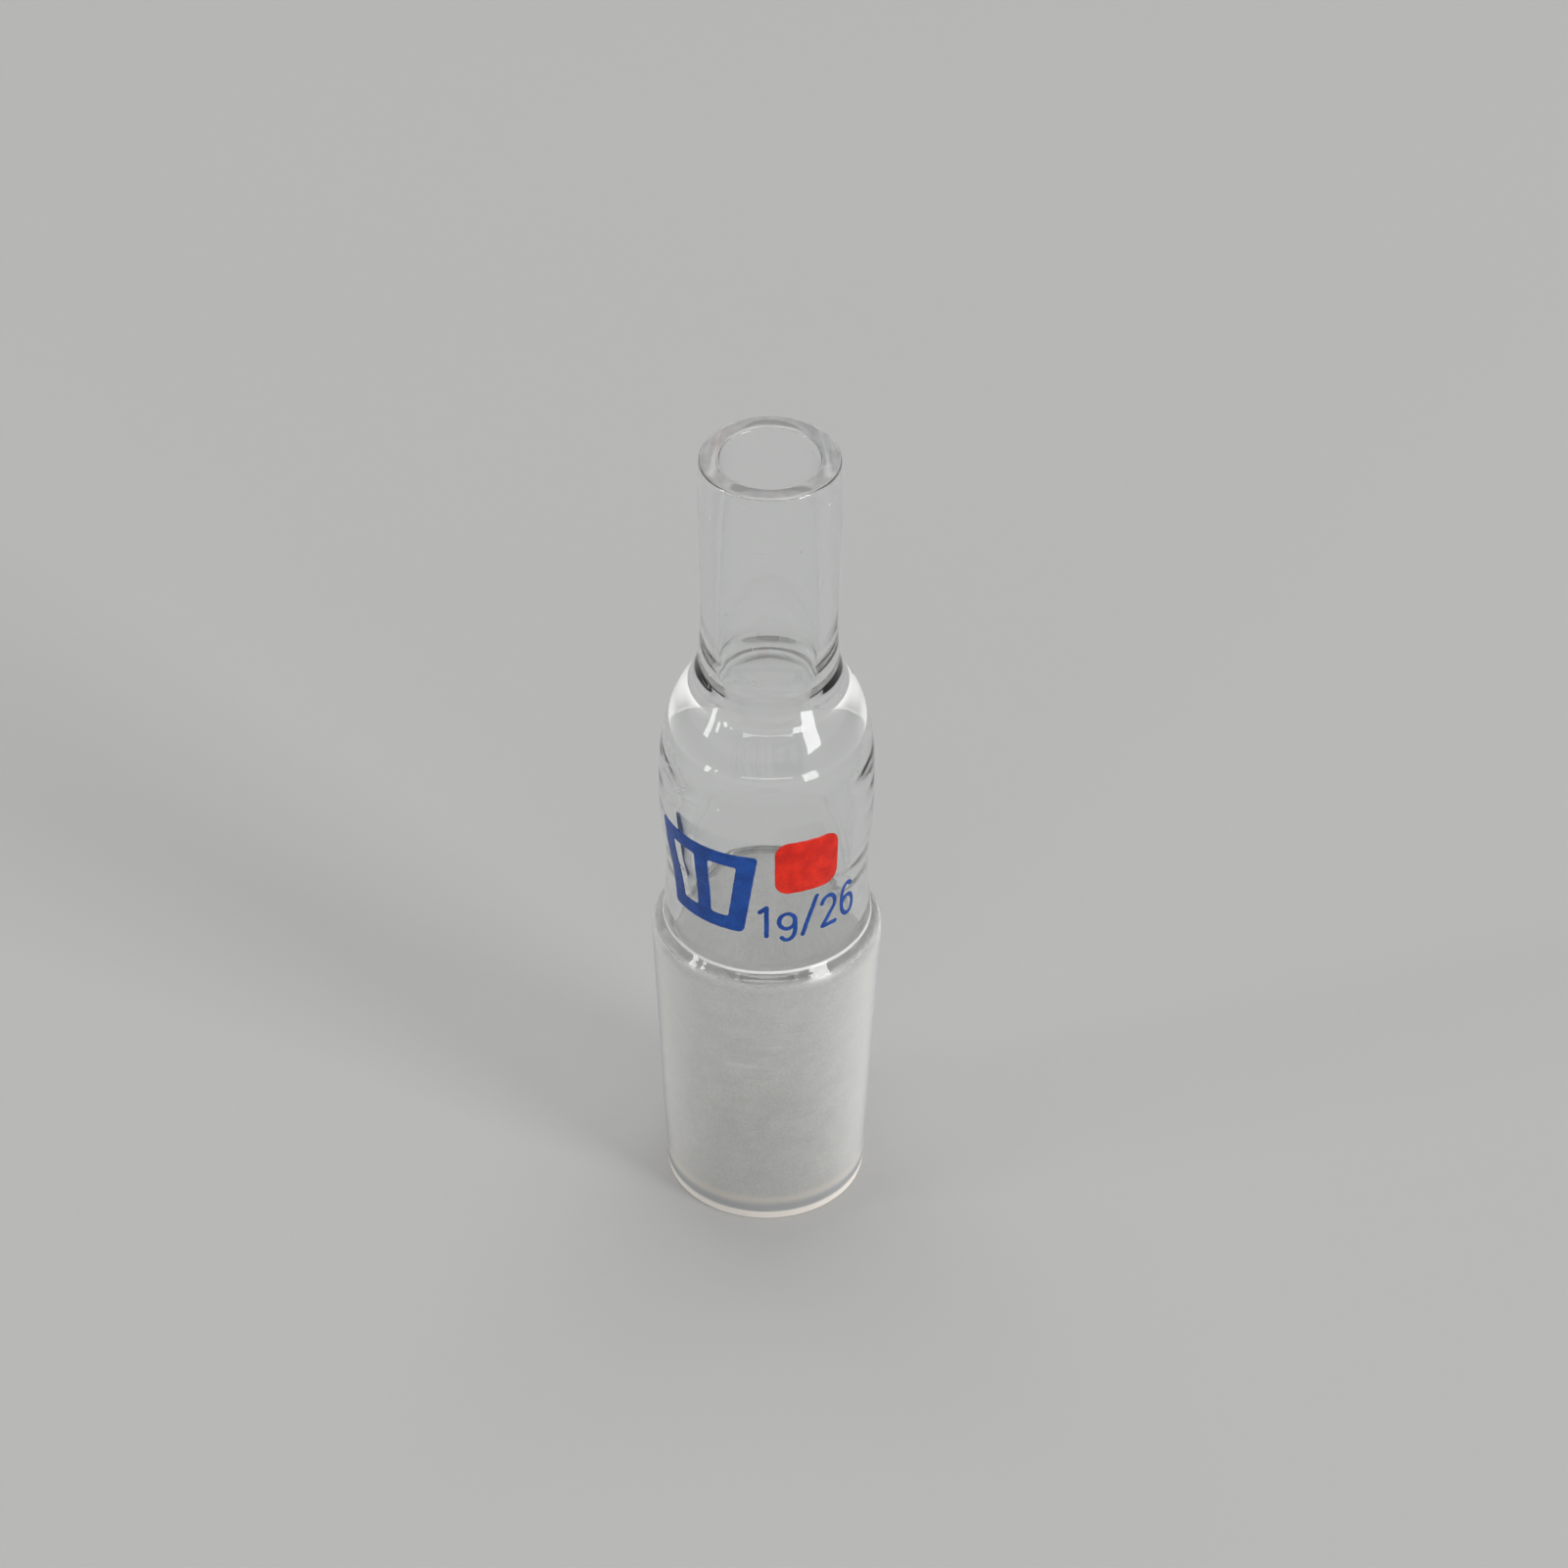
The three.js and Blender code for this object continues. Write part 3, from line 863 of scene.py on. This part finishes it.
def filled(shape, reach, cell):
    """Points (x, y, depth inside the edge) and faces that fill a shape, cut clean at its edge."""
    left, right, bottom, top = reach
    x, y = np.meshgrid(np.arange(left, right, cell), np.arange(bottom, top, cell), indexing="ij")
    distance = shape(x, y) + ragged(x, y)
    distance = np.where(np.abs(distance) < EDGE_SHARE * cell, -EDGE_SHARE * cell, distance)
    points, known, faces = [], {}, []

    def point(key, place):
        if key not in known:
            known[key] = len(points)
            points.append(place)
        return known[key]

    def crossing(a, b):
        share = distance[a] / (distance[a] - distance[b])
        place = (x[a] + share * (x[b] - x[a]), y[a] + share * (y[b] - y[a]), 0.0)
        return point((min(a, b), max(a, b)), place)

    inside = distance < 0
    any_inside = inside[:-1, :-1] | inside[1:, :-1] | inside[1:, 1:] | inside[:-1, 1:]
    for i, j in np.argwhere(any_inside):
        corners = [(i, j), (i + 1, j), (i + 1, j + 1), (i, j + 1)]
        face = []
        for a, b in zip(corners, corners[1:] + corners[:1]):
            if inside[a]:
                face.append(point(a, (x[a], y[a], -distance[a])))
            if inside[a] != inside[b]:
                face.append(crossing(a, b))
        faces.append(face)
    return np.array(points), faces


def make_mark(name, node, shape, reach, place, cell, material):
    """A thin film with a soft domed edge, sunk a little into the glass as fired enamel is."""
    points, faces = filled(shape, reach, cell)
    depth = points[:, 2]
    rise = np.clip(depth / FILM_EDGE, 0, 1)
    dome = FILM_PROUD * np.sqrt(1 - (1 - rise) ** 2)
    inner = np.flatnonzero(depth > 0)
    under = np.arange(len(points))
    under[inner] = len(points) + np.arange(len(inner))
    arc = np.concatenate([points[:, 0], points[inner, 0]]) + place[0]
    height = np.concatenate([points[:, 1], points[inner, 1]]) + place[1]
    stand = np.concatenate([dome, np.full(len(inner), -FILM_SUNK)])
    vertices = glass_points(OUTSIDE, arc / MARK_RADIUS, height * MM, stand=stand * MM)
    below = [[int(under[i]) for i in reversed(face)] for face in faces]
    piece = new_piece(name, vertices, faces + below, [material])
    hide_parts(node)


# ---- Floor and light ----------------------------------------------------------------------

FLOOR_RADIUS = 12.0
FLOOR_SIDES = 96
FLOOR_IOR = 1.3
FLOOR_TONE = (0.54, 0.54, 0.532, 1)
HORIZON = (1.0, 0.99, 0.97, 1)
ZENITH = (0.12, 0.12, 0.13, 1)
SKY_FADE = (0.05, 0.6)

# Name, turn from -Y towards +X and rise in degrees, distance, width, height, radiance.
PANELS = (
    ("overhead", 180, 78, 4.2, 3.6, 3.6, 2.4),
    ("window_front", 0, 29.5, 2.4, 2.6, 0.21, 5.0),
    ("window_right", 53, 13.5, 2.4, 0.74, 1.2, 11.0),
    ("window_left", -74, 10.5, 2.4, 0.27, 0.84, 9.0),
    ("window_left_small", -64, 19, 2.4, 0.15, 0.33, 9.0),
)


def make_floor():
    """A plain pale disc at the height of the cone's rim."""
    turns = np.arange(FLOOR_SIDES) * 2 * math.pi / FLOOR_SIDES
    corners = [(FLOOR_RADIUS * math.cos(t), FLOOR_RADIUS * math.sin(t), 0) for t in turns]
    graph = Graph("floor")
    cloud = graph.noise(graph.add("TexCoord").outputs["Object"], scale=3.0, detail=2.0)
    rough = graph.fade(cloud, 0.3, 0.7, 0.75, 0.85)
    shader = graph.add("BsdfPrincipled", Base_Color=FLOOR_TONE, Roughness=rough, IOR=FLOOR_IOR)
    mesh = bpy.data.meshes.new("floor")
    mesh.from_pydata(corners, [], [tuple(range(FLOOR_SIDES))])
    mesh.materials.append(graph.finish(shader))
    floor = bpy.data.objects.new("floor", mesh)
    bpy.context.scene.collection.objects.link(floor)


def make_world():
    """Even studio surroundings: pale at the horizon and darker overhead."""
    world = bpy.data.worlds.new("studio")
    world.use_nodes = True
    tree = world.node_tree
    where = tree.nodes.new("ShaderNodeTexCoord")
    split = tree.nodes.new("ShaderNodeSeparateXYZ")
    tree.links.new(where.outputs["Generated"], split.inputs[0])
    rise = tree.nodes.new("ShaderNodeMapRange")
    rise.interpolation_type = "SMOOTHSTEP"
    tree.links.new(split.outputs["Z"], rise.inputs[0])
    rise.inputs["From Min"].default_value, rise.inputs["From Max"].default_value = SKY_FADE
    mix = tree.nodes.new("ShaderNodeMix")
    mix.data_type = "RGBA"
    tree.links.new(rise.outputs[0], mix.inputs["Factor"])
    mix.inputs[MIX_LOW].default_value = HORIZON
    mix.inputs[MIX_HIGH].default_value = ZENITH
    tree.links.new(mix.outputs[MIX_RESULT], tree.nodes["Background"].inputs["Color"])
    bpy.context.scene.world = world


def make_panel(name, turn, rise, distance, width, height, radiance):
    """A soft light that faces the middle of the object."""
    turn, rise = math.radians(turn), math.radians(rise)
    level = math.cos(rise)
    away = Vector((math.sin(turn) * level, -math.cos(turn) * level, math.sin(rise)))
    data = bpy.data.lights.new(name, "AREA")
    data.shape = "RECTANGLE"
    data.size = width
    data.size_y = height
    data.energy = radiance * math.pi * width * height
    light = bpy.data.objects.new(name, data)
    light.location = Vector((0, 0, TOP / 2)) + away * distance
    light.rotation_euler = away.to_track_quat("Z", "Y").to_euler()
    light.visible_camera = False
    bpy.context.scene.collection.objects.link(light)


def set_light_paths():
    """Enough bounces for light to cross every wall of the glass and its seams."""
    scene = bpy.context.scene
    scene.cycles.max_bounces = 32
    scene.cycles.transmission_bounces = 24
    scene.cycles.glossy_bounces = 12
    scene.cycles.diffuse_bounces = 4
    scene.cycles.transparent_max_bounces = 48
    scene.view_settings.view_transform = "Standard"


make_glass()
for mark in MARKS:
    make_mark(*mark)
make_floor()
make_world()
for panel in PANELS:
    make_panel(*panel)
set_light_paths()

bpy.context.view_layer.update()
